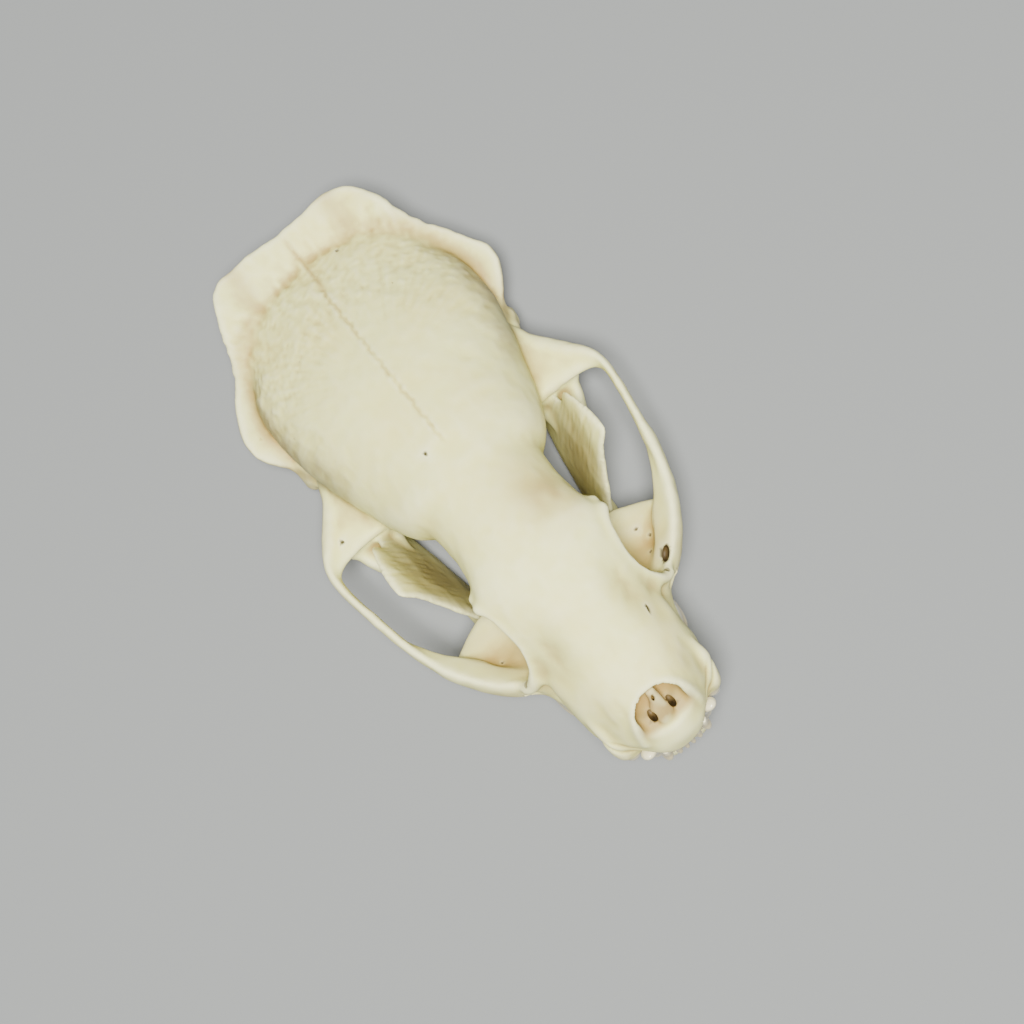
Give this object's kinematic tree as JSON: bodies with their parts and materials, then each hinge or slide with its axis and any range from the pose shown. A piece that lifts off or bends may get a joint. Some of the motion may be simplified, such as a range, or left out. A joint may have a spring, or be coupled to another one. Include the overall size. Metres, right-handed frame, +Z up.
{
  "type": "skunk skull with lower jaw",
  "caption": "Life-size skunk skull with its lower jaw in place, a museum bone specimen lying on a level surface",
  "frame": {"origin": "on the surface it lies on, under the middle of the whole skull's box", "axes": "+Z up, -Y towards the nose, +X towards the skull's left side"},
  "size_m": [0.0408, 0.0772, 0.0302],
  "materials": {
    "bone": "satin",
    "jaw_bone": "satin"
  },
  "bodies": {
    "root": {"braincase": "bone", "rostrum": "bone", "zygomatic_arch_left": "bone", "zygomatic_arch_right": "bone", "mandible_left": "jaw_bone", "mandible_right": "jaw_bone"}
  },
  "joints": []
}
